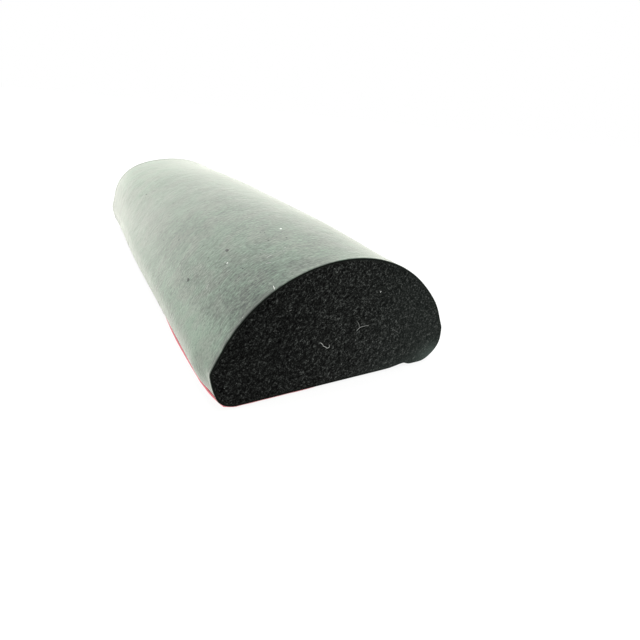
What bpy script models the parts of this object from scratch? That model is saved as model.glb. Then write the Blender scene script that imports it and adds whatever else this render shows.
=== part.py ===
# Self-adhesive D-section sponge rubber sealing strip for the joint between a bathtub and a wall.
# A short cut length: a round-topped rubber profile, the tape on its flat back, and the tape's red film.
# Lengths are in metres. The strip runs along Y, its back is down, and z = 0 is the underside of the film.
import math

import bpy

STRIP_LENGTH = 0.050      # cut end to cut end
STRIP_WIDTH = 0.020       # over the two upright flanks
STRIP_HEIGHT = 0.010      # rubber alone, from its back to the crown
FLANK_HEIGHT = 0.003      # upright side wall, from the back to where the dome starts
CORNER_RADIUS = 0.0018    # rounded long edges of the back

TAPE_LEFT_MARGIN = 0.0008     # the tape sits off centre: it nearly reaches the left flank
TAPE_RIGHT_MARGIN = 0.0039    # and leaves a bare stretch of rubber beside the right one
TAPE_THICKNESS = 0.00008      # a thin transfer adhesive
LINER_THICKNESS = 0.00005
LINER_OVERHANG = 0.00025      # the film stands out past both long edges of the tape
BOND_GAP = 0.00001            # parting line between two bonded layers

DOME_STEPS = 56           # straight facets along the dome's arc
CORNER_STEPS = 10         # and along each rounded corner

TAPE_Z = LINER_THICKNESS + BOND_GAP
RUBBER_Z = TAPE_Z + TAPE_THICKNESS + BOND_GAP


def clear_scene():
    for item in list(bpy.data.objects):
        bpy.data.objects.remove(item, do_unlink=True)


def make_collection(name):
    collection = bpy.data.collections.new(name)
    bpy.context.scene.collection.children.link(collection)
    return collection


def make_material(name, color, roughness):
    material = bpy.data.materials.new(name)
    material.use_nodes = True
    shader = material.node_tree.nodes["Principled BSDF"]
    shader.inputs["Base Color"].default_value = (*color, 1.0)
    shader.inputs["Roughness"].default_value = roughness
    shader.inputs["Metallic"].default_value = 0.0
    return material


def arc(center_x, center_z, radius, start, end, steps):
    """Points on a circle in the section's plane, from one angle to the other, both ends included."""
    points = []
    for step in range(steps + 1):
        angle = start + (end - start) * step / steps
        points.append((center_x + radius * math.cos(angle), center_z + radius * math.sin(angle)))
    return points


def strip_section():
    """The D outline, anticlockwise from the right end of the flat back; the closing edge is the back."""
    half_width = STRIP_WIDTH / 2
    corner = min(CORNER_RADIUS, FLANK_HEIGHT)
    rise = STRIP_HEIGHT - FLANK_HEIGHT
    dome_radius = (half_width ** 2 + rise ** 2) / (2 * rise)
    dome_center = STRIP_HEIGHT - dome_radius
    dome_start = math.atan2(FLANK_HEIGHT - dome_center, half_width)
    corner_x = half_width - corner
    quarter = math.pi / 2
    right = arc(corner_x, corner, corner, -quarter, 0.0, CORNER_STEPS)
    dome = arc(0.0, dome_center, dome_radius, dome_start, math.pi - dome_start, DOME_STEPS)
    left = arc(-corner_x, corner, corner, 2 * quarter, 3 * quarter, CORNER_STEPS)
    outline = right
    for point in dome + left:
        # a corner as tall as its flank ends where the dome starts, and that point is kept once
        if math.dist(point, outline[-1]) > 1e-6:
            outline.append(point)
    return outline


def extruded_strip(name, outline, base_z, material, collection):
    """A flat outline in X and Z, drawn out along Y to the strip's length."""
    curve = bpy.data.curves.new(name, "CURVE")
    curve.dimensions = "2D"
    curve.fill_mode = "BOTH"
    curve.extrude = STRIP_LENGTH / 2
    spline = curve.splines.new("POLY")
    spline.points.add(len(outline) - 1)
    for point, (x, z) in zip(spline.points, outline):
        point.co = (x, z, 0.0, 1.0)
    spline.use_cyclic_u = True
    curve.materials.append(material)
    strip = bpy.data.objects.new(name, curve)
    # stood up, so that the curve's own Y becomes the strip's height
    strip.rotation_euler = (math.pi / 2, 0.0, 0.0)
    strip.location = (0.0, 0.0, base_z)
    collection.objects.link(strip)
    return strip


def flat_layer(name, left, right, base_z, thickness, material, collection):
    """A thin flat band under the strip, as long as the strip, between two x positions."""
    bpy.ops.mesh.primitive_cube_add(size=1.0)
    layer = bpy.context.object
    layer.name = name
    layer.data.name = name
    layer.scale = (right - left, STRIP_LENGTH, thickness)
    bpy.ops.object.transform_apply(location=False, rotation=False, scale=True)
    layer.location = ((left + right) / 2, 0.0, base_z + thickness / 2)
    layer.data.materials.append(material)
    for home in list(layer.users_collection):
        home.objects.unlink(layer)
    collection.objects.link(layer)
    return layer


def build():
    clear_scene()
    collection = make_collection("bathtub_sealing_strip")
    rubber = make_material("black_sponge_rubber", (0.035, 0.042, 0.038), 0.85)
    adhesive = make_material("clear_acrylic_adhesive", (0.78, 0.76, 0.68), 0.45)
    red_film = make_material("red_release_film", (0.62, 0.055, 0.075), 0.35)

    tape_left = -STRIP_WIDTH / 2 + TAPE_LEFT_MARGIN
    tape_right = STRIP_WIDTH / 2 - TAPE_RIGHT_MARGIN
    extruded_strip("sponge_strip", strip_section(), RUBBER_Z, rubber, collection)
    flat_layer("adhesive_tape", tape_left, tape_right, TAPE_Z, TAPE_THICKNESS, adhesive, collection)
    flat_layer("release_liner", tape_left - LINER_OVERHANG, tape_right + LINER_OVERHANG,
               0.0, LINER_THICKNESS, red_film, collection)


build()
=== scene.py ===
# A short cut length of D-section sponge rubber sealing strip for a bathtub, dressed around its imported model.
# The rubber gets its cut cells, dense rim and dusty skin, the red film its slit edges, and lint and talc lie
# on the rubber. Painted light and shade are mixed into the colours of the skin, the cut face, the pores, the
# film and the tape.
import math

import bpy
import numpy as np
from mathutils import Matrix, Vector


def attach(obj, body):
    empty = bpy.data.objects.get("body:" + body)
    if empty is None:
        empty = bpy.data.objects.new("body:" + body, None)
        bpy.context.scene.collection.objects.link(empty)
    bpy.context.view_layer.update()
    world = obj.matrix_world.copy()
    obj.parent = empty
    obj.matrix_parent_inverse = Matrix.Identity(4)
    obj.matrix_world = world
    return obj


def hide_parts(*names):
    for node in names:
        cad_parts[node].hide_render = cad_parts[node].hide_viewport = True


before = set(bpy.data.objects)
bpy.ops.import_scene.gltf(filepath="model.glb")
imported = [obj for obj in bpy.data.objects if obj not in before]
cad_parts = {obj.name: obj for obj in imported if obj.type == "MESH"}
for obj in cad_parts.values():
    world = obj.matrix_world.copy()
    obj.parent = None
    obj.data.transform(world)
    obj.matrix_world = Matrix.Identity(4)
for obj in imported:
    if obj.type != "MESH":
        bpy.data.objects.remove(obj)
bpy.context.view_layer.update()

mm = 0.001
print("packed model loaded:", ", ".join(sorted(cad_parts)))


# camera: the photograph's own viewpoint, found from the outline of the cut face
cameraSetup = {
    "place": (-16.894, -48.508, 19.106),   # mm
    "azimuth": 31.997,                     # degrees, from +Y towards +X
    "down": 25.607,
    "roll": -5.652,
    "lens": 24.708,                        # mm on the sensor below
    "sensor": 36.0,
    "frame": 640,                          # pixels, both ways
}


def cameraAxes(setup):
    # ahead = (cos down sin azimuth, cos down cos azimuth, -sin down), then up is turned about it by the roll
    azimuth, down, roll = (math.radians(setup[key]) for key in ("azimuth", "down", "roll"))
    ahead = Vector((math.cos(down) * math.sin(azimuth), math.cos(down) * math.cos(azimuth), -math.sin(down)))
    level = ahead.cross(Vector((0, 0, 1))).normalized()
    up = math.cos(roll) * level.cross(ahead) + math.sin(roll) * level
    return ahead.cross(up), up, ahead


def makeCamera(setup):
    right, up, ahead = cameraAxes(setup)
    data = bpy.data.cameras.new("photoCamera")
    data.lens = setup["lens"]
    data.sensor_width = setup["sensor"]
    data.clip_start = 1 * mm
    data.clip_end = 10.0
    camera = bpy.data.objects.new("photoCamera", data)
    turn = Matrix((right, up, -ahead)).transposed().to_4x4()
    camera.matrix_world = Matrix.Translation(Vector(setup["place"]) * mm) @ turn
    bpy.context.scene.collection.objects.link(camera)
    bpy.context.scene.camera = camera


def sightLines(spots, setup):
    # one direction for each picture spot: ahead + right * (x - middle) / focal + up * (middle - y) / focal
    right, up, ahead = (np.array(axis) for axis in cameraAxes(setup))
    focal = setup["lens"] / setup["sensor"] * setup["frame"]
    middle = setup["frame"] / 2
    spots = np.asarray(spots, float)
    across = (spots[:, :1] - middle) / focal
    upward = (middle - spots[:, 1:]) / focal
    return ahead + across * right + upward * up


makeCamera(cameraSetup)
print("camera placed")


# materials
def linearColour(code):
    # sRGB hex to linear, with alpha 1
    parts = [int(code[k:k + 2], 16) / 255 for k in (1, 3, 5)]
    return tuple(c / 12.92 if c <= 0.04045 else ((c + 0.055) / 1.055) ** 2.4 for c in parts) + (1.0,)


def connect(tree, node, links):
    # links are {socket: source}, where a node stands for its first output
    for key, source in links.items():
        if isinstance(source, bpy.types.Node):
            source = source.outputs[0]
        tree.links.new(source, node.inputs[key])


def addNode(tree, kind, settings=None, links=None):
    # settings are the node's own properties or its sockets' values
    node = tree.nodes.new("ShaderNode" + kind)
    for key, value in (settings or {}).items():
        if isinstance(key, str) and hasattr(node, key):
            setattr(node, key, value)
        else:
            node.inputs[key].default_value = value
    connect(tree, node, links or {})
    return node


def newMaterial(name, settings):
    material = bpy.data.materials.new(name)
    material.use_nodes = True
    tree = material.node_tree
    tree.nodes.clear()
    shader = addNode(tree, "BsdfPrincipled", settings)
    addNode(tree, "OutputMaterial", links={"Surface": shader.outputs["BSDF"]})
    return material, tree, shader


skinLook = {
    "rubber": "#1c2420",
    "talc": "#5b6a5d",
    "talcNeutral": "#5f685e",    # patches where the dust is less green
    "edgeTalc": "#1d221e",       # the shoulder beside the cut, where the blade took the dust off
    "sheenTint": "#f2f3e9",
    "sheen": 1.0,
    "sheenRoughness": 0.33,
    "roughness": (0.72, 0.92),   # of bare rubber and of full dust
    "strokeSize": (1.3, 0.34),   # mm around the section and along the strip
    "wispSize": (0.7, 0.13),
    "grainSize": 0.23,           # mm; grains of talc are 0.02 mm, and are drawn as clumps so that they show
    "cloudSize": 3.2,
    "patchSize": 1.7,
    "strokeShare": 0.36,         # how much each pattern adds to the dust
    "grainShare": 0.92,
    "cloudShare": 0.44,
    "wispShare": 0.55,
    "dustRange": (0.58, 1.19),   # sums of the first three that leave the rubber bare and that cover it
    # painted light and shade on the skin, drawn as talc lying thicker or thinner (lighter where positive,
    # darker where negative), in mm: (around, along, spread of each, how much)
    "lightAndTalcPatches": [(37.0, -18.0, 1.4, 6.5, 0.38), (38.2, -4.0, 1.9, 8.0, 0.26), (31.3, 20.0, 4.4, 9.5, 0.40),
                (38.4, 22.0, 2.3, 7.0, -0.42), (29.0, -17.0, 3.4, 6.0, 0.06), (33.4, -24.5, 2.4, 5.0, -0.20),
                (38.2, -21.5, 1.7, 4.5, 0.30)],
}


def makeSkinMaterial():
    # EPDM sponge, extruded and cured with a talc coat: a matte grey-green skin that goes pale at grazing
    # angles, with fine strokes and wisps around the section where the dust was wiped
    look = skinLook
    material, tree, shader = newMaterial("talcDustedSpongeSkin", {
        "Specular IOR Level": 0.35, "IOR": 1.48, "Sheen Weight": look["sheen"],
        "Sheen Roughness": look["sheenRoughness"], "Sheen Tint": linearColour(look["sheenTint"])})
    place = addNode(tree, "TexCoord").outputs["Object"]
    uv = addNode(tree, "UVMap", {"uv_map": "skinMap"})
    # the skin map is in mm, so 1 / size scales a pattern on it
    around, along = look["strokeSize"]
    strokeMap = addNode(tree, "Mapping", {"Scale": (1 / around, 1 / along, 1)}, {"Vector": uv})
    strokes = addNode(tree, "TexNoise", {"Scale": 1.0, "Detail": 2.0, "Roughness": 0.6},
                      {"Vector": strokeMap})
    grain = addNode(tree, "TexNoise",
                    {"Scale": 1 / (look["grainSize"] * mm), "Detail": 2.0, "Roughness": 0.6},
                    {"Vector": place})
    clouds = addNode(tree, "TexNoise",
                     {"Scale": 1 / (look["cloudSize"] * mm), "Detail": 4.0, "Roughness": 0.55},
                     {"Vector": place})
    # strokes, grain and clouds are added up with their own weights
    strokeSum = addNode(tree, "Math", {"operation": "MULTIPLY", 1: look["strokeShare"]}, {0: strokes})
    grainSum = addNode(tree, "Math", {"operation": "MULTIPLY_ADD", 1: look["grainShare"]},
                       {0: grain, 2: strokeSum})
    cloudSum = addNode(tree, "Math", {"operation": "MULTIPLY_ADD", 1: look["cloudShare"]},
                       {0: clouds, 2: grainSum})
    evenDust = addNode(tree, "MapRange",
                       {"From Min": look["dustRange"][0], "From Max": look["dustRange"][1], "clamp": False},
                       {"Value": cloudSum})
    # then come thin pale wisps, and the patches of painted light and shade drawn as thicker or thinner talc
    around, along = look["wispSize"]
    wispMap = addNode(tree, "Mapping", {"Scale": (1 / around, 1 / along, 1)}, {"Vector": uv})
    wispNoise = addNode(tree, "TexNoise", {"Scale": 1.0, "Detail": 1.0}, {"Vector": wispMap})
    wisps = addNode(tree, "MapRange", {"From Min": 0.50, "From Max": 0.72, "To Max": look["wispShare"]},
                    {"Value": wispNoise})
    lightAndTalcPatches = addNode(tree, "Attribute", {"attribute_name": "paintedLightAndTalc"})
    moreDust = addNode(tree, "Math", {"operation": "ADD"}, {0: evenDust, 1: wisps})
    dust = addNode(tree, "Math", {"operation": "ADD", "use_clamp": True},
                   {0: moreDust, 1: lightAndTalcPatches.outputs["Fac"]})
    patches = addNode(tree, "TexNoise", {"Scale": 1 / (look["patchSize"] * mm), "Detail": 1.0},
                      {"Vector": place})
    patchShare = addNode(tree, "MapRange", {"From Min": 0.42, "From Max": 0.62}, {"Value": patches})
    # a colour mix takes its two colours at 6 and 7, and gives its result at 2
    talcMix = addNode(tree, "Mix", {"data_type": "RGBA", 6: linearColour(look["talc"]),
                                              7: linearColour(look["talcNeutral"])},
                      {0: patchShare})
    colour = addNode(tree, "Mix", {"data_type": "RGBA", 6: linearColour(look["rubber"])},
                     {0: dust, 7: talcMix.outputs[2]})
    edge = addNode(tree, "Attribute", {"attribute_name": "cutEdge"})
    edged = addNode(tree, "Mix", {"data_type": "RGBA", 7: linearColour(look["edgeTalc"])},
                    {0: edge.outputs["Fac"], 6: colour.outputs[2]})
    bareRough, dustRough = look["roughness"]
    rough = addNode(tree, "MapRange", {"To Min": bareRough, "To Max": dustRough}, {"Value": dust})
    bumpHeight = addNode(tree, "Math", {"operation": "MULTIPLY_ADD", 1: 0.9}, {0: grain, 2: strokeSum})
    bump = addNode(tree, "Bump", {"Strength": 0.6, "Distance": 0.05 * mm}, {"Height": bumpHeight})
    connect(tree, shader, {"Base Color": edged.outputs[2], "Roughness": rough, "Normal": bump})
    return material


cutLook = {
    # painted shade: the colour at the bottom of an open cell
    "pitPaintedShade": "#010101",       # bottom of an open cell
    "wall": "#060706",
    "paintedWallHighlight": "#717571",       # painted highlight where a torn wall catches the light
    "rim": "#0a0d0a",
    # talc on the cut, with painted haze and painted light on its right side
    "dust": "#57635d",
    "glintSize": 0.09,           # mm, of the painted glints, finer than the mesh carries
}


def makeCutMaterial():
    # the same sponge cut with a blade: open half cells with thin black walls, and a dense rim at the skin; the
    # cells swallow nearly all of the gloss. The cells' bottoms get painted shade and their walls painted
    # glints
    material, tree, shader = newMaterial("cutBlackSponge", {"Specular IOR Level": 0.05, "IOR": 1.48})
    place = addNode(tree, "TexCoord").outputs["Object"]
    # how deep in a cell a point lies, which sets the painted shade at the cells' bottoms
    cell = addNode(tree, "Attribute", {"attribute_name": "pitDepth"})
    shade = addNode(tree, "Attribute", {"attribute_name": "paintedWallGlint"})
    rim = addNode(tree, "Attribute", {"attribute_name": "denseRim"})
    # the cut's talc with painted haze, and painted light on its right
    dust = addNode(tree, "Attribute", {"attribute_name": "faceDustAndPaintedLight"})
    # painted highlights on the walls: fine noise times each cell's glint strength; the noise is their bump too
    fine = addNode(tree, "TexNoise",
                   {"Scale": 1 / (cutLook["glintSize"] * mm), "Detail": 1.0, "Roughness": 0.7},
                   {"Vector": place})
    fineWall = addNode(tree, "MapRange", {"From Min": 0.42, "From Max": 0.70}, {"Value": fine})
    pale = addNode(tree, "Math", {"operation": "MULTIPLY"}, {0: shade.outputs["Fac"], 1: fineWall})
    colour = addNode(tree, "Mix", {"data_type": "RGBA", 6: linearColour(cutLook["wall"]),
                                             7: linearColour(cutLook["paintedWallHighlight"])}, {0: pale})
    # the walls' colour is covered by the painted shade of the cells' bottoms, the rim, and the dust with its
    # painted haze in turn, by each one's share
    for cover, key in ((cell, "pitPaintedShade"), (rim, "rim"), (dust, "dust")):
        colour = addNode(tree, "Mix", {"data_type": "RGBA", 7: linearColour(cutLook[key])},
                         {0: cover.outputs["Fac"], 6: colour.outputs[2]})
    bump = addNode(tree, "Bump", {"Strength": 0.7, "Distance": 0.04 * mm}, {"Height": fineWall})
    rough = addNode(tree, "MapRange", {"To Min": 0.75, "To Max": 0.95}, {"Value": cell.outputs["Fac"]})
    connect(tree, shader, {"Base Color": colour.outputs[2], "Roughness": rough, "Normal": bump})
    return material


# numpy helpers for surfaces
def gridQuads(g, closed=False):
    # the quads between a grid's rows and columns; a closed grid's last column joins its first
    if closed:
        g = np.concatenate([g, g[:, :1]], 1)
    return np.stack([g[:-1, :-1], g[1:, :-1], g[1:, 1:], g[:-1, 1:]], -1).reshape(-1, 4)


def softStep(value):
    # 0 below 0, 1 above 1, and 3t^2 - 2t^3 between
    t = np.clip(value, 0, 1)
    return t * t * (3 - 2 * t)


def softNoise(u, v, sizeU, sizeV, seed):
    # value noise from -1 to 1: random heights at the corners of sizeU x sizeV cells, joined by softStep
    table = np.random.default_rng(seed).uniform(-1, 1, (256, 256))
    iu, iv = np.floor(u / sizeU).astype(int), np.floor(v / sizeV).astype(int)
    fu, fv = softStep(u / sizeU - iu), softStep(v / sizeV - iv)
    u0, u1, v0, v1 = iu % 256, (iu + 1) % 256, iv % 256, (iv + 1) % 256
    low = table[u0, v0] * (1 - fu) + table[u1, v0] * fu
    high = table[u0, v1] * (1 - fu) + table[u1, v1] * fu
    return low * (1 - fv) + high * fv


def cutCells(x, z, size, share, seed):
    # spherical dents: each square of side size has one cell at a jittered place with its own radius, and a
    # point's dent is the deepest radius * sqrt(1 - (distance / radius)^2) of the nine cells around it; with it
    # comes the nearest cell's own random number, which sets the strength of its painted glints
    rng = np.random.default_rng(seed)
    cx, cz = (x - x.min()) / size + 1, (z - z.min()) / size + 1
    ix, iz = np.floor(cx).astype(int), np.floor(cz).astype(int)
    table = rng.random((ix.max() + 3, iz.max() + 3, 4))
    depth = np.zeros_like(x)
    shade = np.zeros_like(x)
    nearest = np.full_like(x, 9.0)
    for stepX in (-1, 0, 1):
        for stepZ in (-1, 0, 1):
            cell = table[ix + stepX, iz + stepZ]
            away = np.hypot(cx - (ix + stepX) - cell[..., 0], cz - (iz + stepZ) - cell[..., 1])
            radius = (0.42 + 0.38 * cell[..., 2]) * (cell[..., 3] < share)
            dent = np.sqrt(np.clip(1 - (away / np.maximum(radius, 1e-3)) ** 2, 0, 1)) * radius
            depth = np.maximum(depth, dent)
            closer = away < nearest
            nearest = np.where(closer, away, nearest)
            shade = np.where(closer, cell[..., 3], shade)
    return depth, shade


def addPiece(name, points, quads, triangles=None, materials=(), materialIndex=None, attributes=None, uv=None,
             replaces=()):
    # points in mm and faces as index arrays; the object stays at the origin and rides on the one body
    faces = quads.tolist() + ([] if triangles is None else triangles.tolist())
    mesh = bpy.data.meshes.new(name)
    mesh.from_pydata((points * mm).tolist(), [], faces)
    for material in materials:
        mesh.materials.append(material)
    if materialIndex is not None:
        mesh.polygons.foreach_set("material_index", materialIndex.astype(np.int32))
    mesh.polygons.foreach_set("use_smooth", np.ones(len(faces), bool))
    for key, values in (attributes or {}).items():
        layer = mesh.attributes.new(key, "FLOAT", "POINT")
        layer.data.foreach_set("value", values.astype(np.float32))
    if uv is not None:
        layer = mesh.uv_layers.new(name=uv[0])
        layer.data.foreach_set("uv", uv[1].astype(np.float32).ravel())
    mesh.update()
    piece = bpy.data.objects.new(name, mesh)
    bpy.context.scene.collection.objects.link(piece)
    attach(piece, "root")
    for node in replaces:
        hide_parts(node)
    print(name, "made:", sum(len(face) - 2 for face in faces), "triangles")


# the rubber profile
profile = {
    "length": 50.0,
    "width": 20.0,
    "height": 10.0,
    "flank": 3.0,            # upright side wall, up to where the dome starts
    "corner": 1.8,           # radius of the long edges of the back
    "back": 0.15,            # height of the rubber's back over the floor
    "crispness": 0.16,       # at the near cut, corners and shoulders are rounded over about this length
    "softness": 1.25,        # and from there on over this one, so that no crease shows
    "softRise": 2.2,         # from one to the other, in mm along the strip
    "notch": 6.5,            # x where the tape's right edge pinches the back; past it the lip is free
    "notchDepth": 0.2,
    "notchSpread": (1.0, 0.45),   # left and right of it
    "notchHeight": 1.5,      # the pinch and the drop of the lip fade out by this height
    "lipDrop": 0.04,
    "lipStart": 0.6,         # the lip has dropped this far past the notch
    # where the section bulges out or falls short of the stock profile: (x, height, spread, how far out), mm
    "sag": [(-10, 3.0, 0.8, 0.10), (-9.9, 1.3, 0.7, -0.12), (10, 2.0, 1.3, 0.27), (9.6, 0.5, 0.6, -0.02),
            (9, 5.0, 1.6, 0.10), (-7, 7.2, 4.0, 0.05)],
    # the blade squeezed the ends, so it is fuller between them: the same, with the mm over which that comes
    # in from the near end and from the far end
    "swell": [(5, 8.9, 6.0, 0.42, 14, 20), (-10, 1.4, 2.2, 0.44, 3.6, 26)],
    # towards the far end the left shoulder is fuller and the corner under it rounder, from farStart on
    "farEnd": [(-7, 7.5, 4.0, 0.66), (-10, 3.3, 2.0, -0.32)],
    "farStart": 5.0,
    # the skin's relief in mm: (depth, size around the section, size along the strip)
    "waves": (0.05, 7.0, 11.0),
    "peel": (0.016, 0.9, 0.7),    # orange peel, in two sizes
    "finePeel": (0.45, 0.4),
    "strokes": (0.010, 1.6, 0.32),
    "calm": 0.5,             # the relief fades out over this much beside a cut
    # beside the near cut the left shoulder is wiped bare: (from, over) in mm, along and around
    "bareAlong": (0.05, 0.8),
    "bareAround": (28.5, 3.5),
    "edgeRound": 0.04,       # rounding of the cut edge
    "firstInset": 0.0147,    # and how far in the first skin row is because of it
    "edgeRows": (0.015, 0.05, 0.11, 0.19),   # distances of the first skin rows from the cut
    "evenRows": 0.3,         # and from here on they are evenly spaced
    "rim": 0.15,             # dense skin seen in the cut
    "cellSize": 0.16,        # closed cells, cut open
    "cellDepth": 0.09,
    "largeCells": (1.7, 0.06),    # a few are larger: how many times, and what share
    "bladeWave": 0.03,       # depth of the long shallow waves that the blade left
    "paintedWallGlint": (0.3, 0.45),     # the strength of the walls' painted glints: least, and how much a cell can add
    "leftPaintedShade": 0.58,       # painted shade: on the left of the cut the wall glints are dimmed to this share
    "cornerDustAndPaintedLight": 0.54,      # talc wiped onto the right of the cut, with painted haze: at its lower corner,
    "lowDust": 0.09,         # along its lower edge,
    "rightPaintedLight": 0.08,       # and painted light all over its right half
    "faceColumns": 224,
    "faceRows": 96,
    "faceTurn": 7.25,        # outline length between the lower and the upper corners of the face's grid
    "skinRows": 164,
}


def sectionOutline(p):
    # the D section as a dense closed polyline, from the middle of the back and anticlockwise seen from -Y:
    # back, corner arc, flank, dome arc through both flank tops and the crown, and the same down to the back
    half, corner = p["width"] / 2, p["corner"]
    rise = p["height"] - p["flank"]
    radius = (half ** 2 + rise ** 2) / (2 * rise)
    centre = p["height"] - radius
    start = math.atan2(p["flank"] - centre, half)
    turn = np.linspace(-math.pi / 2, 0, 60)
    swing = np.linspace(start, math.pi - start, 600)
    right = np.stack([half - corner + corner * np.cos(turn), corner + corner * np.sin(turn)], 1)
    dome = np.stack([radius * np.cos(swing), centre + radius * np.sin(swing)], 1)
    left = right[::-1] * (-1, 1)
    points = np.concatenate([[[0, 0]], right, dome, left, [[0, 0]]])
    length = np.concatenate([[0], np.cumsum(np.hypot(*np.diff(points, axis=0).T))])
    # even steps, then a running mean over each softness; the four columns are the point and its outward
    # direction
    steps = 4000
    even = np.linspace(0, length[-1], steps + 1)
    outline = np.stack([np.interp(even, length, points[:, k]) for k in (0, 1)], 1)[:-1]
    shapes = []
    for softness in (p["crispness"], p["softness"]):
        spread = int(softness / length[-1] * steps)
        window = np.hanning(2 * spread + 1)
        wrapped = np.concatenate([outline[-spread:], outline, outline[:spread]])
        soft = np.stack([np.convolve(wrapped[:, k], window / window.sum(), "valid") for k in (0, 1)], 1)
        slope = np.roll(soft, -1, 0) - np.roll(soft, 1, 0)
        slope = slope / np.hypot(*slope.T)[:, None]
        shapes.append(np.stack([soft[:, 0], soft[:, 1], slope[:, 1], -slope[:, 0]], 1))
    return even[:-1], length[-1], shapes


def outlineAt(around, y, p, outline):
    # point and outward direction at given lengths around the outline, crisp at the near cut, soft further on
    even, total, (crisp, soft) = outline
    share = softStep((p["length"] / 2 + y) / p["softRise"])
    found = [np.interp(around, even, crisp[:, k], period=total) * (1 - share)
             + np.interp(around, even, soft[:, k], period=total) * share for k in range(4)]
    return found[:2], found[2:]


def sectionAt(around, y, inset, p, outline):
    # points of the outline moved inwards, with its bulges, and with the free lip let down
    half = p["length"] / 2
    at, out = outlineAt(around, y, p, outline)

    def bulge(x, z, spread):
        # exp(-(distance / spread)^2)
        return np.exp(-((at[0] - x) ** 2 + (at[1] - z) ** 2) / spread ** 2)

    grow = -inset
    for x, z, spread, far in p["sag"]:
        grow = grow + far * bulge(x, z, spread)
    for x, z, spread, far, nearRise, farRise in p["swell"]:
        fullness = softStep((half + y) / nearRise) * softStep((half - y) / farRise)
        grow = grow + far * fullness * bulge(x, z, spread)
    for x, z, spread, far in p["farEnd"]:
        fullness = softStep((y - p["farStart"]) / (half - p["farStart"]))
        grow = grow + far * fullness * bulge(x, z, spread)
    x = at[0] + grow * out[0]
    z = at[1] + grow * out[1]
    low = np.clip(1 - z / p["notchHeight"], 0, 1) ** 2
    pinch = np.exp(-((x - p["notch"]) / np.where(x < p["notch"], *p["notchSpread"])) ** 2)
    z = z + low * (p["notchDepth"] * pinch - p["lipDrop"] * softStep((x - p["notch"]) / p["lipStart"]))
    return x, z + p["back"]


def patchGrid(ring, columns, rows):
    # Coons patch: the four sides of the loop blended across, less the blend of its four corners
    half = columns // 2
    low = np.concatenate([ring[-half:], ring[:half + 1]])
    right = ring[half:half + rows + 1]
    high = ring[half + rows:half + rows + columns + 1][::-1]
    left = ring[half + rows + columns:half + 2 * rows + columns + 1][::-1]
    u = np.linspace(0, 1, columns + 1)[:, None, None]
    v = np.linspace(0, 1, rows + 1)[None, :, None]
    sides = (1 - v) * low[:, None] + v * high[:, None] + (1 - u) * left[None] + u * right[None]
    corners = (1 - u) * (1 - v) * low[0] + u * (1 - v) * low[-1] + (1 - u) * v * high[0] + u * v * high[-1]
    return sides - corners


def rimDistance(points, ring):
    # shortest distance from each point to the loop's points
    gaps = points[:, None].astype(np.float32) - ring[None].astype(np.float32)
    return np.sqrt((gaps ** 2).sum(-1).min(1))


def cutFace(ring, p, seed):
    # the cut section: the patch in X and Z, dented inwards by cells of two sizes; nothing in the dense rim,
    # which fades out from 0.6 to 1.5 times its own width
    grid = patchGrid(ring, p["faceColumns"], p["faceRows"])
    x, z = grid[..., 0], grid[..., 1]
    away = rimDistance(grid.reshape(-1, 2), ring).reshape(x.shape)
    inside = softStep((away - p["rim"] * 0.6) / (p["rim"] * 0.9))
    largeTimes, largeShare = p["largeCells"]
    small, shade = cutCells(x, z, p["cellSize"], 0.95, seed)
    large, _ = cutCells(x, z, p["cellSize"] * largeTimes, largeShare, seed + 1)
    waves = 0.5 + 0.5 * softNoise(x + 0.4 * z, z, 5.0, 1.6, seed + 2)
    dent = p["cellDepth"] * (small + 0.6 * large) + p["bladeWave"] * waves
    # how far down into a cell, for the painted shade at its bottom
    pit = np.clip(1.3 * small + 0.3 * large, 0, 1)
    # the walls' painted glints, dimmed by painted shade on the left: from x = -8 to 1 mm they go from the
    # left's share to the full one
    least, more = p["paintedWallGlint"]
    shade = (least + more * shade) * (p["leftPaintedShade"] + (1 - p["leftPaintedShade"]) * softStep((x + 8) / 9))
    return x, z, dent * inside, pit * inside, shade, 1 - inside


def faceDustAndPaintedLight(x, z, p):
    # how pale the cut is made: wiped talc with painted haze as a round patch at the lower right corner and a
    # band along the lower edge from the middle to the right, and a veil of painted light that thickens from x
    # = -3 to 10 mm
    corner = np.exp(-((x - 9.9) / 1.7) ** 2 - ((z - 0.5) / 1.1) ** 2)
    low = np.exp(-(z / 0.9) ** 2) * softStep(x / 6)
    veil = softStep((x + 3) / 13) ** 1.5
    return p["cornerDustAndPaintedLight"] * corner + p["lowDust"] * low + p["rightPaintedLight"] * veil


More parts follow.
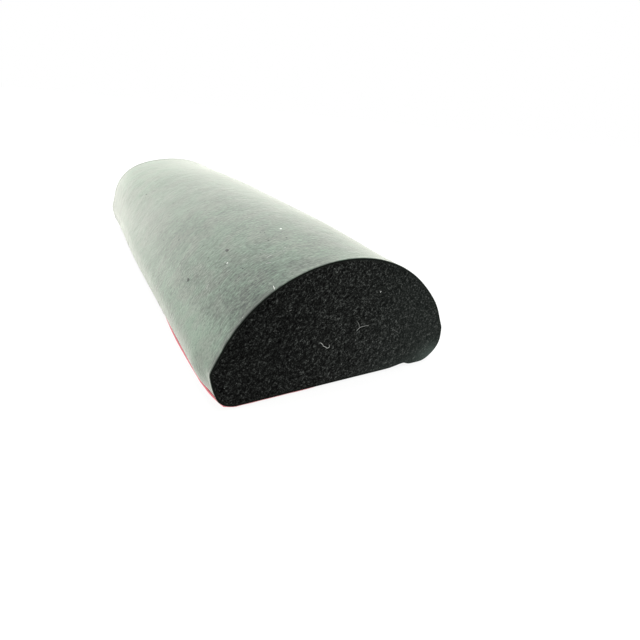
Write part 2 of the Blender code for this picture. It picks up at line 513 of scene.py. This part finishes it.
def makeSponge(p):
    columns, rows, bands = p["faceColumns"], p["faceRows"], p["skinRows"]
    outline = sectionOutline(p)
    total = outline[1]
    # loop stops: middle of the back, right corner, right of the dome, left of the dome, left corner, and
    # round to the start, with the number of the loop's point at each
    cornerMiddle = p["width"] / 2 - p["corner"] + p["corner"] * math.pi / 4
    domeTurn = cornerMiddle + p["faceTurn"]
    loopCount = 2 * (columns + rows)
    stops = [0, cornerMiddle, domeTurn, total - domeTurn, total - cornerMiddle, total]
    counts = [0, columns / 2, columns / 2 + rows, columns * 1.5 + rows, columns * 1.5 + 2 * rows, loopCount]
    around = np.interp(np.arange(loopCount), counts, stops)
    half = p["length"] / 2

    # the two cut faces
    faces = []
    for seed, side in ((11, -1), (12, 1)):
        ring = np.stack(sectionAt(around, side * half, p["edgeRound"], p, outline), 1)
        x, z, dent, pit, shade, rim = cutFace(ring, p, seed)
        y = side * (half - dent)
        faces.append((np.stack([x, y, z], -1).reshape(-1, 3), pit.ravel(), shade.ravel(), rim.ravel(),
                      x.ravel(), z.ravel()))

    # skin rows, close together at the cut edges
    coarse = around[::2]
    edgeRows = np.array(p["edgeRows"])
    even = np.linspace(-half + p["evenRows"], half - p["evenRows"], bands - 2 * len(edgeRows))
    y = np.concatenate([-half + edgeRows, even, (half - edgeRows)[::-1]])
    inset = np.zeros(bands)
    inset[[0, -1]] = p["firstInset"]
    S, Y = np.meshgrid(coarse, y)
    depth, bareEdge = skinRelief(S, Y, p)
    x, z = sectionAt(S, Y, depth + inset[:, None], p, outline)
    skin = np.stack([x, Y, z], -1).reshape(-1, 3)

    # indices: near face grid, far face grid, then the skin rows
    grid = np.arange((columns + 1) * (rows + 1)).reshape(columns + 1, rows + 1)
    farGrid = grid + grid.size
    skinIndex = np.arange(bands * len(coarse)).reshape(bands, -1) + 2 * grid.size

    def loopOf(g):
        middle = columns // 2
        return np.concatenate([g[middle:-1, 0], g[-1, :-1], g[:0:-1, -1], g[0, :0:-1], g[:middle, 0]])

    nearQuads = gridQuads(grid)
    farQuads = gridQuads(farGrid)[:, ::-1]
    skinQuads = gridQuads(skinIndex, True)
    nearLoop, farLoop = loopOf(grid), loopOf(farGrid)

    def stitch(fine, row, flip):
        # three triangles for each coarse step and its two fine ones
        f0, f1, f2 = fine[::2], fine[1::2], np.roll(fine, -2)[::2]
        c0, c1 = row, np.roll(row, -1)
        made = np.concatenate([np.stack(three, 1) for three in ((f0, c0, f1), (f1, c0, c1), (f1, c1, f2))])
        return made[:, ::-1] if flip else made

    nearStitch = stitch(nearLoop, skinIndex[0], False)
    farStitch = stitch(farLoop, skinIndex[-1], True)
    points = np.concatenate([faces[0][0], faces[1][0], skin])
    quads = np.concatenate([nearQuads, farQuads, skinQuads])
    triangles = np.concatenate([nearStitch, farStitch])
    materialIndex = np.zeros(len(quads) + len(triangles))
    materialIndex[:len(nearQuads) + len(farQuads)] = 1

    # the skin map: length around the section and along the strip, in mm, with its seam in the middle of the
    # back. A face across the seam has its low corners moved on by the whole length around.
    aroundPoint = np.concatenate([faces[0][4], faces[1][4], S.ravel()])
    alongPoint = np.concatenate([faces[0][5], faces[1][5], Y.ravel()])
    aroundPoint[nearLoop], aroundPoint[farLoop] = around, around
    alongPoint[nearLoop], alongPoint[farLoop] = -half, half
    corners = np.concatenate([quads.ravel(), triangles.ravel()])
    mapU, mapV = aroundPoint[corners], alongPoint[corners]
    sizes = np.concatenate([np.full(len(quads), 4), np.full(len(triangles), 3)])
    isSkin = np.repeat(materialIndex == 0, sizes)
    starts = np.concatenate([[0], np.cumsum(sizes)[:-1]])
    highest = np.repeat(np.maximum.reduceat(mapU, starts), sizes)
    mapU = np.where(isSkin & (highest - mapU > total / 2), mapU + total, mapU)
    uv = np.stack([mapU, mapV], 1)

    # each point's attributes, in the order near face, far face, skin
    # pit sets the cut's painted shade at the cells' bottoms, shade the strength of its painted wall glints
    pit = np.concatenate([faces[0][1], faces[1][1], np.zeros(len(skin))])
    pit[nearLoop], pit[farLoop] = 0, 0
    shade = np.concatenate([faces[0][2], faces[1][2], np.zeros(len(skin))])
    rim = np.concatenate([faces[0][3], faces[1][3], np.ones(len(skin))])
    edge = np.concatenate([np.ones(grid.size), np.zeros(grid.size), bareEdge.ravel()])
    # the cut's talc with painted haze and painted light
    dust = np.concatenate([faceDustAndPaintedLight(face[4], face[5], p) for face in faces] + [np.zeros(len(skin))])
    # painted light and shade on the skin, drawn as thicker or thinner talc
    thick = skinLightAndTalc(aroundPoint, alongPoint)
    materials = (makeSkinMaterial(), makeCutMaterial())
    addPiece("spongeProfile", points, quads, triangles, materials, materialIndex,
             {"pitDepth": pit, "paintedWallGlint": shade, "denseRim": rim, "cutEdge": edge, "faceDustAndPaintedLight": dust,
              "paintedLightAndTalc": thick},
             ("skinMap", uv), ["sponge_strip"])


def onSkin(spots, p):
    # where the sight lines through picture spots meet the plain dome: the nearer root of a circle in X and Z
    lines = sightLines(spots, cameraSetup)
    eye = np.array(cameraSetup["place"])
    half = p["width"] / 2
    rise = p["height"] - p["flank"]
    radius = (half ** 2 + rise ** 2) / (2 * rise)
    centre = p["height"] - radius + p["back"]
    dx, dz = lines[:, 0], lines[:, 2]
    ox, oz = eye[0], eye[2] - centre
    a = dx ** 2 + dz ** 2
    b = ox * dx + oz * dz
    c = ox ** 2 + oz ** 2 - radius ** 2
    reach = (-b - np.sqrt(np.maximum(b * b - a * c, 0))) / a
    found = eye + lines * reach[:, None]
    angle = np.arctan2(found[:, 2] - centre, found[:, 0])
    start = math.atan2(p["flank"] + p["back"] - centre, half)
    first = p["width"] / 2 - p["corner"] + p["corner"] * math.pi / 2 + p["flank"] - p["corner"]
    return found, first + (angle - start) * radius


def onFace(spots, p):
    # where the sight lines through picture spots meet the near cut face
    lines = sightLines(spots, cameraSetup)
    eye = np.array(cameraSetup["place"])
    reach = (-p["length"] / 2 - eye[1]) / lines[:, 1]
    return eye + lines * reach[:, None]


def skinRelief(S, Y, p):
    # depth under the ideal section: long waves, orange peel and wiped strokes, each from 0 to its own depth
    waveDepth, peelDepth, strokeDepth = p["waves"][0], p["peel"][0], p["strokes"][0]
    waves = 0.5 + 0.5 * softNoise(S, Y, *p["waves"][1:], 21)
    peel = 0.5 + 0.25 * (softNoise(S, Y, *p["peel"][1:], 22) + softNoise(S, Y, *p["finePeel"], 23))
    strokes = 0.5 + 0.5 * softNoise(S, Y, *p["strokes"][1:], 24)
    fromCut = p["length"] / 2 - np.abs(Y)
    depth = (waveDepth * waves + peelDepth * peel + strokeDepth * strokes) * softStep(fromCut / p["calm"])
    # and how bare the skin is beside the near cut, on its left shoulder
    start, over = p["bareAlong"]
    bare = (1 - softStep((fromCut - start) / over)) * (0.7 + 0.3 * softNoise(S, Y, 0.6, 5, 25))
    start, over = p["bareAround"]
    return depth, bare * (Y < 0) * softStep((S - start) / over)


def skinLightAndTalc(S, Y):
    # patches of painted light and shade, drawn as thicker or thinner talc: amount * exp(-(around / wide)^2 -
    # (along / long)^2), added up
    lightAndTalc = np.zeros_like(S)
    for around, along, wide, long, amount in skinLook["lightAndTalcPatches"]:
        lightAndTalc = lightAndTalc + amount * np.exp(-((S - around) / wide) ** 2 - ((Y - along) / long) ** 2)
    return lightAndTalc


makeSponge(profile)


# the tape and its red release film
film = {
    # slit edges, in mm: the left one shows beside the strip and follows its swell, as (y, x)
    "left": [(-25, -8.9), (-24.4, -9.11), (-24, -9.22), (-23.4, -9.36), (-22.6, -9.5), (-21, -9.66),
             (-18, -9.75), (-14, -9.79), (-12, -9.75), (-10, -9.66), (-8, -9.56), (-4, -9.45), (4, -9.35),
             (12, -9.15), (25, -9.05)],
    "right": 6.36,
    "base": 0.0,
    "thick": 0.045,
    "wander": 0.012,         # the slit edge isn't straight
    "curl": 0.02,            # the free left edge lifts by this much
    "setBack": 0.165,        # the cut ends are drawn back under the rubber,
    "cornerBack": 0.35,      # further at the left corner, where the rubber's own corner is round,
    "rightBack": 0.24,       # and further from the middle to the right
    "ragged": 0.02,
    # the red, and a paler red painted in clouds as light coming through the film
    "colours": ("#d0646d", "#e4858c"),
    "seed": 41,
    "columns": 110,
    "rows": 240,
}
tape = {
    "left": [(-25, -9.07), (25, -8.9)],
    "right": 6.08,
    "base": 0.058,
    "thick": 0.08,
    "wander": 0.03,
    "curl": 0.0,
    "setBack": 0.19,
    "cornerBack": 0.35,
    "rightBack": 0.24,
    "ragged": 0.02,
    "colours": ("#5e2a2a", "#7c3a38"),   # at an air bubble, and around it; both darkened with painted shade for the band under the rubber's edge
    "seed": 51,
    "columns": 80,
    "rows": 200,
}


def makeFilmMaterial():
    # red polyethylene release film, siliconised and drawn out along its length: a soft gloss with ribs about
    # 0.5 mm wide and 6 mm long, and thin, with pale clouds of painted light for light coming through it
    material, tree, shader = newMaterial("redReleaseFilm", {"IOR": 1.5})
    place = addNode(tree, "TexCoord").outputs["Object"]
    clouds = addNode(tree, "TexNoise", {"Scale": 1 / (2.5 * mm), "Detail": 3.0}, {"Vector": place})
    stretchMap = addNode(tree, "Mapping", {"Scale": (1 / (0.5 * mm), 1 / (6 * mm), 1 / (1 * mm))},
                         {"Vector": place})
    stretch = addNode(tree, "TexNoise", {"Scale": 1.0, "Detail": 3.0}, {"Vector": stretchMap})
    red, paintedLightRed = (linearColour(code) for code in film["colours"])
    colour = addNode(tree, "Mix", {"data_type": "RGBA", 6: red, 7: paintedLightRed}, {0: clouds})
    rough = addNode(tree, "MapRange", {"To Min": 0.28, "To Max": 0.48}, {"Value": stretch})
    bump = addNode(tree, "Bump", {"Strength": 0.35, "Distance": 0.03 * mm}, {"Height": stretch})
    connect(tree, shader, {"Base Color": colour.outputs[2], "Roughness": rough, "Normal": bump})
    return material


def makeLayer(name, f, material, node):
    # a thin sheet on a grid of across and along: both sides are the middle surface moved by half the
    # thickness, and the sides' outer loops are bridged
    u = np.linspace(0, 1, f["columns"] + 1)[:, None]
    v = np.linspace(0, 1, f["rows"] + 1)[None, :]
    half = profile["length"] / 2
    edgeY, edgeX = np.array(f["left"]).T
    across = edgeX[0] + (f["right"] - edgeX[0]) * u
    # the corner's share comes in left of x = -8.1, and the right's from x = -3 to 1 mm
    ragged = f["ragged"] * softNoise(across, 0 * across, 0.7, 1.0, f["seed"])
    cornerBack = f["cornerBack"] * softStep((-8.1 - across) / 1.1)
    setBack = f["setBack"] + cornerBack + f["rightBack"] * softStep((across + 3) / 4) + ragged
    y = -half + setBack + 2 * (half - setBack) * v
    left = np.interp(y, edgeY, edgeX) + f["wander"] * softNoise(y, 0 * y, 3.1, 1.0, f["seed"] + 1)
    right = f["right"] + f["wander"] * softNoise(y, 0 * y, 4.3, 1.0, f["seed"] + 2)
    x = left + (right - left) * u
    lift = f["curl"] * softStep((left + 0.3 - x) / 0.3) ** 2
    middle = f["base"] + f["thick"] / 2 + lift * (0.75 + 0.25 * softNoise(y, x, 2.7, 30.0, f["seed"] + 3))
    top = np.stack([x, y, middle + f["thick"] / 2], -1)
    low = np.stack([x, y, middle - f["thick"] / 2], -1)
    upper = np.arange(x.size).reshape(x.shape)
    lower = upper + x.size
    loop = np.concatenate([upper[:-1, 0], upper[-1, :-1], upper[:0:-1, -1], upper[0, :0:-1]])
    ahead = np.roll(loop, -1)
    sides = np.stack([loop + x.size, ahead + x.size, ahead, loop], 1)
    upQuads = gridQuads(upper)
    lowQuads = gridQuads(lower)[:, [0, 3, 2, 1]]
    points = np.concatenate([top.reshape(-1, 3), low.reshape(-1, 3)])
    addPiece(name, points, np.concatenate([upQuads, lowQuads, sides]), None, (material,),
             replaces=[node])


def makeTapeMaterial():
    # acrylic transfer adhesive: clear, so it takes the film's red, darkened with painted shade where it lies
    # under the rubber's edge, with tiny air bubbles from laying it on
    material, tree, shader = newMaterial("acrylicAdhesive", {"Roughness": 0.4, "IOR": 1.47})
    place = addNode(tree, "TexCoord").outputs["Object"]
    # one bubble in each cell of 0.5 mm
    bubbles = addNode(tree, "TexVoronoi", {"Scale": 1 / (0.5 * mm)}, {"Vector": place})
    spots = addNode(tree, "MapRange", {"From Min": 0.08, "From Max": 0.2}, {"Value": bubbles})
    bubble, glueAndPaintedShade = (linearColour(code) for code in tape["colours"])
    colour = addNode(tree, "Mix", {"data_type": "RGBA", 6: bubble, 7: glueAndPaintedShade}, {0: spots})
    bump = addNode(tree, "Bump", {"Strength": 0.3, "Distance": 0.02 * mm}, {"Height": spots})
    connect(tree, shader, {"Base Color": colour.outputs[2], "Normal": bump})
    return material


makeLayer("releaseFilm", film, makeFilmMaterial(), "release_liner")
makeLayer("adhesiveLayer", tape, makeTapeMaterial(), "adhesive_tape")


# lint and talc
lint = {
    # cotton lint on the cut face and the skin, along picture spots: (radius in mm, how pale, spots)
    "onFace": [
        (0.019, 0.50, [(319.8, 343.0), (321.0, 342.9), (322.8, 344.6), (323.4, 346.2), (325.4, 347.0),
                       (327.4, 348.4), (329.4, 347.0), (329.2, 344.4)]),
        (0.021, 0.28, [(356.3, 331.6), (358.4, 328.7), (361.4, 326.8), (364.9, 325.9), (369.3, 325.3)]),
        (0.018, 0.22, [(359.4, 328.2), (359.3, 325.6), (358.6, 323.2), (356.9, 321.2)]),
        (0.018, 0.12, [(393.0, 329.6), (395.5, 331.0), (398.6, 332.5)]),
        (0.018, 0.18, [(289.3, 311.4), (290.4, 310.5), (292.0, 309.9)]),
        (0.012, 0.10, [(402.2, 347.6), (402.5, 351.2), (402.1, 356.0)]),
        (0.013, 0.12, [(273.0, 331.6), (275.0, 330.8), (277.2, 331.2)]),
        (0.012, 0.12, [(297.0, 371.0), (298.6, 369.6), (300.2, 370.2)]),
    ],
    "onSkin": [
        (0.017, 0.50, [(266.6, 257.9), (268.6, 256.9), (270.4, 255.9), (272.8, 255.0)]),
        (0.017, 0.42, [(265.3, 263.9), (268.2, 263.2), (271.6, 262.6)]),
        (0.021, 0.60, [(273.3, 285.8), (274.3, 288.0), (274.8, 290.2)]),
        (0.017, 0.42, [(206.4, 288.9), (207.0, 287.4), (208.0, 285.6), (209.2, 283.8)]),
        (0.012, 0.28, [(230.4, 312.0), (231.6, 309.6), (233.4, 307.6)]),
        (0.012, 0.28, [(196.2, 331.0), (197.6, 328.4), (198.4, 325.2)]),
        (0.012, 0.28, [(247.0, 282.4), (249.2, 281.0), (251.2, 280.8)]),
    ],
    "sunk": 0.004,           # on the face, a fibre's middle lies this deep
    "strays": 26,            # more of them all over the skin,
    "strayLength": (0.4, 1.6),
    "strayRadius": (0.007, 0.012),
    "strayFrom": 10.5,       # at least this far around from the middle of the back
    "colours": ("#121613", "#e9ece6"),   # the darkest and the palest, of talc and of the pores' painted shade too
}
talc = {
    # crumbs of talc at picture spots: (x, y, width in mm, how pale)
    "onFace": [(380.7, 291.8, 0.11, 0.7), (334.8, 268.7, 0.05, 0.4), (312.0, 300.0, 0.045, 0.3),
               (298.5, 327.0, 0.045, 0.3), (224.3, 388.5, 0.05, 0.3), (341.0, 352.0, 0.04, 0.2),
               (405.0, 326.0, 0.05, 0.2), (436.0, 302.0, 0.05, 0.3)],
    "onSkin": [(280.8, 229.4, 0.20, 0.8), (227.4, 263.2, 0.15, 0.6), (225.2, 262.4, 0.07, 0.4),
               (285.0, 247.5, 0.08, 0.6), (276.8, 251.3, 0.06, 0.4), (258.0, 246.0, 0.06, 0.4),
               (224.8, 268.2, 0.06, 0.4), (240.2, 246.6, 0.05, 0.4)],
    # open pores in the skin, drawn as flush dark spots of painted shade, standing for the shade in the holes,
    # because they are finer than its mesh
    "pores": [(227.0, 250.4, 0.28), (188.2, 280.0, 0.32), (286.5, 238.0, 0.15), (246.0, 291.5, 0.13),
              (268.4, 240.5, 0.13), (264.3, 249.7, 0.08), (260.5, 232.6, 0.10), (219.3, 290.9, 0.10),
              (147.2, 195.3, 0.20), (179.0, 240.0, 0.20), (209.6, 293.2, 0.09), (246.2, 262.0, 0.08),
              (236.0, 280.6, 0.08), (203.4, 246.0, 0.12)],
    "porePaintedShade": (0.07, 0.04),    # painted shade in a dull dark grey: these, and the smaller ones all over
    "poreDrawn": 1.9,        # the extruder drew the pores out along the strip
    "crumbs": 360,           # more of them all over the skin
    "morePores": 110,
    "skinFrom": 9.0,         # both at least this far around from the middle of the back
    "crumbsOnFaces": 60,
    "height": (0.45, 0.1),   # of a crumb and of a pore, as a share of its width
}


def makeLintMaterial():
    # cotton lint, talc crumbs and the painted shade of open pores: quite matte, from near black to off-white
    # by their paleness
    settings = {"Roughness": 0.9, "Specular IOR Level": 0.2}
    material, tree, shader = newMaterial("cottonLintAndTalc", settings)
    place = addNode(tree, "TexCoord").outputs["Object"]
    clouds = addNode(tree, "TexNoise", {"Scale": 1 / (0.2 * mm), "Detail": 2.0}, {"Vector": place})
    paleness = addNode(tree, "Attribute", {"attribute_name": "paleness"})
    uneven = addNode(tree, "MapRange", {"To Min": 0.7, "To Max": 1.3}, {"Value": clouds})
    share = addNode(tree, "Math", {"operation": "MULTIPLY", "use_clamp": True},
                    {0: paleness.outputs["Fac"], 1: uneven})
    dark, pale = (linearColour(code) for code in lint["colours"])
    colour = addNode(tree, "Mix", {"data_type": "RGBA", 6: dark, 7: pale}, {0: share})
    connect(tree, shader, {"Base Color": colour.outputs[2]})
    return material


def smoothPath(spots, steps=9):
    # straight runs between the spots, then a running mean over them, with both ends kept
    spots = np.asarray(spots, float)
    at = np.linspace(0, len(spots) - 1, (len(spots) - 1) * steps + 1)
    path = np.stack([np.interp(at, np.arange(len(spots)), spots[:, k]) for k in range(3)], 1)
    padded = np.concatenate([np.repeat(path[:1], steps // 2, 0), path, np.repeat(path[-1:], steps // 2, 0)])
    weights = np.hanning(2 * (steps // 2) + 3)[1:-1]
    return np.stack([np.convolve(padded[:, k], weights / weights.sum(), "valid") for k in range(3)], 1)


def tube(path, normal, radius, sides=6):
    # rings of radius * (1 - (2t - 1)^8)^0.5 in the plane across the path, with both ends closed:
    # path + thick * (cos turn * side + sin turn * lift)
    t = np.linspace(0, 1, len(path))
    along = np.gradient(path, axis=0)
    along = along / np.linalg.norm(along, axis=1)[:, None]
    side = np.cross(along, normal)
    side = side / np.linalg.norm(side, axis=1)[:, None]
    lift = np.cross(side, along)
    turn = (np.arange(sides) / sides * 2 * np.pi)[None, :, None]
    thick = radius * np.sqrt(np.maximum(1 - (2 * t - 1) ** 8, 0.05))[:, None, None]
    rings = path[:, None] + thick * (np.cos(turn) * side[:, None] + np.sin(turn) * lift[:, None])
    index = np.arange(len(path) * sides).reshape(-1, sides)
    quads = gridQuads(index, True)[:, [0, 3, 2, 1]]
    fan = np.arange(1, sides - 1)
    first, last = index[0], index[-1]
    caps = np.concatenate([np.stack([first[0] + 0 * fan, first[fan + 1], first[fan]], 1),
                           np.stack([last[0] + 0 * fan, last[fan], last[fan + 1]], 1)])
    return rings.reshape(-1, 3), quads, caps


def skinPlace(around, y, p):
    # point and outward direction on the finished skin, relief included
    outline = sectionOutline(p)
    x, z = sectionAt(around, y, skinRelief(around, y, p)[0], p, outline)
    out = outlineAt(around, y, p, outline)[1]
    return np.stack([x, y, z], -1), np.stack([out[0], 0 * y, out[1]], -1)


def makeLint(rows, p, material):
    # fibres as (path, outward direction, radius, paleness): on the cut face, on the skin, and strays
    rng = np.random.default_rng(61)
    half = p["length"] / 2
    runs = []
    for radius, paleness, spots in rows["onFace"]:
        path = onFace(spots, p)
        path[:, 1] = -half + rows["sunk"]
        runs.append((path, np.array([0.0, -1.0, 0.0]), radius, paleness))
    for radius, paleness, spots in rows["onSkin"]:
        found, around = onSkin(spots, p)
        path, out = skinPlace(around, found[:, 1], p)
        runs.append((path + out * radius * 0.6, out.mean(0), radius, paleness))
    first, last = rows["strayFrom"], sectionOutline(p)[1] - rows["strayFrom"]
    for stray in range(rows["strays"]):
        start, y = rng.uniform(first, last), rng.uniform(-half + 1, half - 1)
        heading, bend = rng.uniform(0, 2 * np.pi), rng.uniform(-1.5, 1.5)
        length = rng.uniform(*rows["strayLength"])
        angle = heading + bend * np.linspace(0, 1, 5)
        around = start + length * np.cumsum(np.cos(angle)) / 5
        path, out = skinPlace(around, y + length * np.cumsum(np.sin(angle)) / 5, p)
        radius, paleness = rng.uniform(*rows["strayRadius"]), rng.uniform(0.25, 0.4)
        runs.append((path + out * 0.008, out.mean(0), radius, paleness))
    points, quads, caps, pale, count = [], [], [], [], 0
    for path, normal, radius, paleness in runs:
        made = tube(smoothPath(path), normal, radius)
        points.append(made[0])
        quads.append(made[1] + count)
        caps.append(made[2] + count)
        pale.append(np.full(len(made[0]), paleness))
        count += len(made[0])
    addPiece("lintFibres", np.concatenate(points), np.concatenate(quads), np.concatenate(caps), (material,),
             attributes={"paleness": np.concatenate(pale)})


def makeTalc(rows, p, material):
    # lumpy flattened balls of four rings of eight points and two poles, each point pushed about:
    # centre + side * x + along * y + out * z. Those on the skin come first, then those on the cuts.
    rng = np.random.default_rng(71)
    half = p["length"] / 2
    first, last = rows["skinFrom"], sectionOutline(p)[1] - rows["skinFrom"]
    spots, pores, faceSpots = (np.array(rows[key]) for key in ("onSkin", "pores", "onFace"))
    found, around = onSkin(np.concatenate([spots[:, :2], pores[:, :2]]), p)
    count, more, strewn = rows["crumbs"], rows["morePores"], rows["crumbsOnFaces"]
    around = np.concatenate([around, rng.uniform(first, last, count + more)])
    y = np.concatenate([found[:, 1], rng.uniform(-half + 0.3, half - 0.3, count + more)])
    width = np.concatenate([spots[:, 2], pores[:, 2], 0.025 + 0.07 * rng.random(count) ** 3,
                            0.04 + 0.07 * rng.random(more) ** 2])
    porePaintedShade, morePorePaintedShade = rows["porePaintedShade"]
    pale = np.concatenate([spots[:, 3], np.full(len(pores), porePaintedShade), rng.uniform(0.2, 0.5, count),
                           np.full(more, morePorePaintedShade)])
    centre, out = skinPlace(around, y, p)
    side = np.cross(out, [0.0, 1.0, 0.0])
    onCut = onFace(faceSpots[:, :2], p)
    onCut[:, 1] = -half
    strewnAt = np.stack([rng.uniform(-8, 8, strewn), np.where(np.arange(strewn) % 2, half, -half),
                         rng.uniform(1.2, 6.2, strewn)], 1)
    onCut = np.concatenate([onCut, strewnAt])
    cutOut, cutSide = np.zeros_like(onCut), np.zeros_like(onCut)
    cutOut[:, 1] = np.sign(onCut[:, 1])
    cutSide[:, 0] = 1
    centre = np.concatenate([centre, onCut])
    out = np.concatenate([out, cutOut])
    side = np.concatenate([side, cutSide])
    width = np.concatenate([width, faceSpots[:, 2], rng.uniform(0.02, 0.035, strewn)])
    pale = np.concatenate([pale, faceSpots[:, 3], rng.uniform(0.1, 0.3, strewn)])
    isPore = np.repeat([False, True, False, True, False], [len(spots), len(pores), count, more, len(onCut)])
    polar = np.linspace(0, np.pi, 6)[1:-1][:, None]
    turn = (np.arange(8) / 8 * 2 * np.pi)[None, :]
    wide = np.sin(polar)
    ball = np.stack([wide * np.cos(turn), wide * np.sin(turn), np.cos(polar) + 0 * turn], -1)
    ball = np.concatenate([[[0, 0, 1]], ball.reshape(-1, 3), [[0, 0, -1]]])
    lumps = ball[None] * (0.75 + 0.4 * rng.random((len(centre), len(ball), 1)))
    # crumbs lie longer around the section, pores along it
    wide = np.where(isPore, rng.uniform(0.9, 1.1, len(centre)), rng.uniform(0.9, 1.5, len(centre)))
    deep = rng.uniform(0.75, 1.0, len(centre)) * np.where(isPore, rows["poreDrawn"], 1.0)
    crumbHeight, poreHeight = rows["height"]
    height = np.where(isPore, poreHeight, crumbHeight)
    lumps = lumps * (width[:, None] / 2 * np.stack([wide, deep, height], 1))[:, None]
    axes = np.stack([side, np.cross(out, side), out], 1)
    points = centre[:, None] + np.einsum("nmk,nkc->nmc", lumps, axes)
    index = np.arange(1, len(ball) - 1).reshape(4, 8)
    ahead = np.roll(index, -1, 1)
    quads = gridQuads(index, True)
    pole = 0 * index[0]
    caps = np.concatenate([np.stack([pole, index[0], ahead[0]], 1),
                           np.stack([pole + len(ball) - 1, ahead[-1], index[-1]], 1)])
    shift = (np.arange(len(centre)) * len(ball))[:, None, None]
    addPiece("talcCrumbs", points.reshape(-1, 3), (quads[None] + shift).reshape(-1, 4),
             (caps[None] + shift).reshape(-1, 3), (material,),
             attributes={"paleness": np.repeat(pale, len(ball))})


lintMaterial = makeLintMaterial()
makeLint(lint, profile, lintMaterial)
makeTalc(talc, profile, lintMaterial)


# floor, light and view
stage = {
    "floorRadius": 1.2,      # m
    "floor": "#5a5a59",
    "floorGlow": 0.88,       # a lightbox table, so the floor has next to no shadows
    "world": 1.0,
}


def makeStage(s):
    # a round pale floor just under the film, on rings of a polar grid
    turn = np.linspace(0, 2 * np.pi, 97)[:-1]
    rings = np.array([0.02, 0.06, 0.15, 0.4, s["floorRadius"]])[:, None]
    x, y = rings * np.cos(turn), rings * np.sin(turn)
    points = np.stack([x, y, np.full_like(x, -0.00001)], -1).reshape(-1, 3)
    index = np.arange(x.size).reshape(x.shape)
    quads = gridQuads(index, True)
    mesh = bpy.data.meshes.new("paleFloor")
    mesh.from_pydata(points.tolist(), [], quads.tolist() + [index[0].tolist()])
    settings = {"Base Color": linearColour(s["floor"]), "Roughness": 0.9, "Emission Color": (1, 1, 1, 1),
                "Emission Strength": s["floorGlow"]}
    mesh.materials.append(newMaterial("paleFloorPaint", settings)[0])
    floor = bpy.data.objects.new("paleFloor", mesh)
    bpy.context.scene.collection.objects.link(floor)
    world = bpy.data.worlds.new("studioWorld")
    world.use_nodes = True
    background = world.node_tree.nodes["Background"]
    background.inputs["Color"].default_value = (1, 1, 1, 1)
    background.inputs["Strength"].default_value = s["world"]
    bpy.context.scene.world = world


lights = [
    # name, place and aim in mm, size in mm, power in W
    ("softTop", (60, 40, 260), (0, 0, 0), 260, 0.95),
    ("softLeft", (-160, 0, 60), (0, -5, 5), 100, 0.20),
    ("farTop", (0, 70, 90), (0, 20, 5), 80, 0.09),
]


def makeLights(rows):
    for name, place, aim, size, power in rows:
        data = bpy.data.lights.new(name, "AREA")
        data.shape = "SQUARE"
        data.size = size * mm
        data.energy = power
        lamp = bpy.data.objects.new(name, data)
        lamp.location = Vector(place) * mm
        lamp.rotation_euler = (Vector(aim) - Vector(place)).to_track_quat("-Z", "Y").to_euler()
        bpy.context.scene.collection.objects.link(lamp)


makeStage(stage)
makeLights(lights)
bpy.context.scene.view_settings.view_transform = "Standard"
print("stage and lights placed")
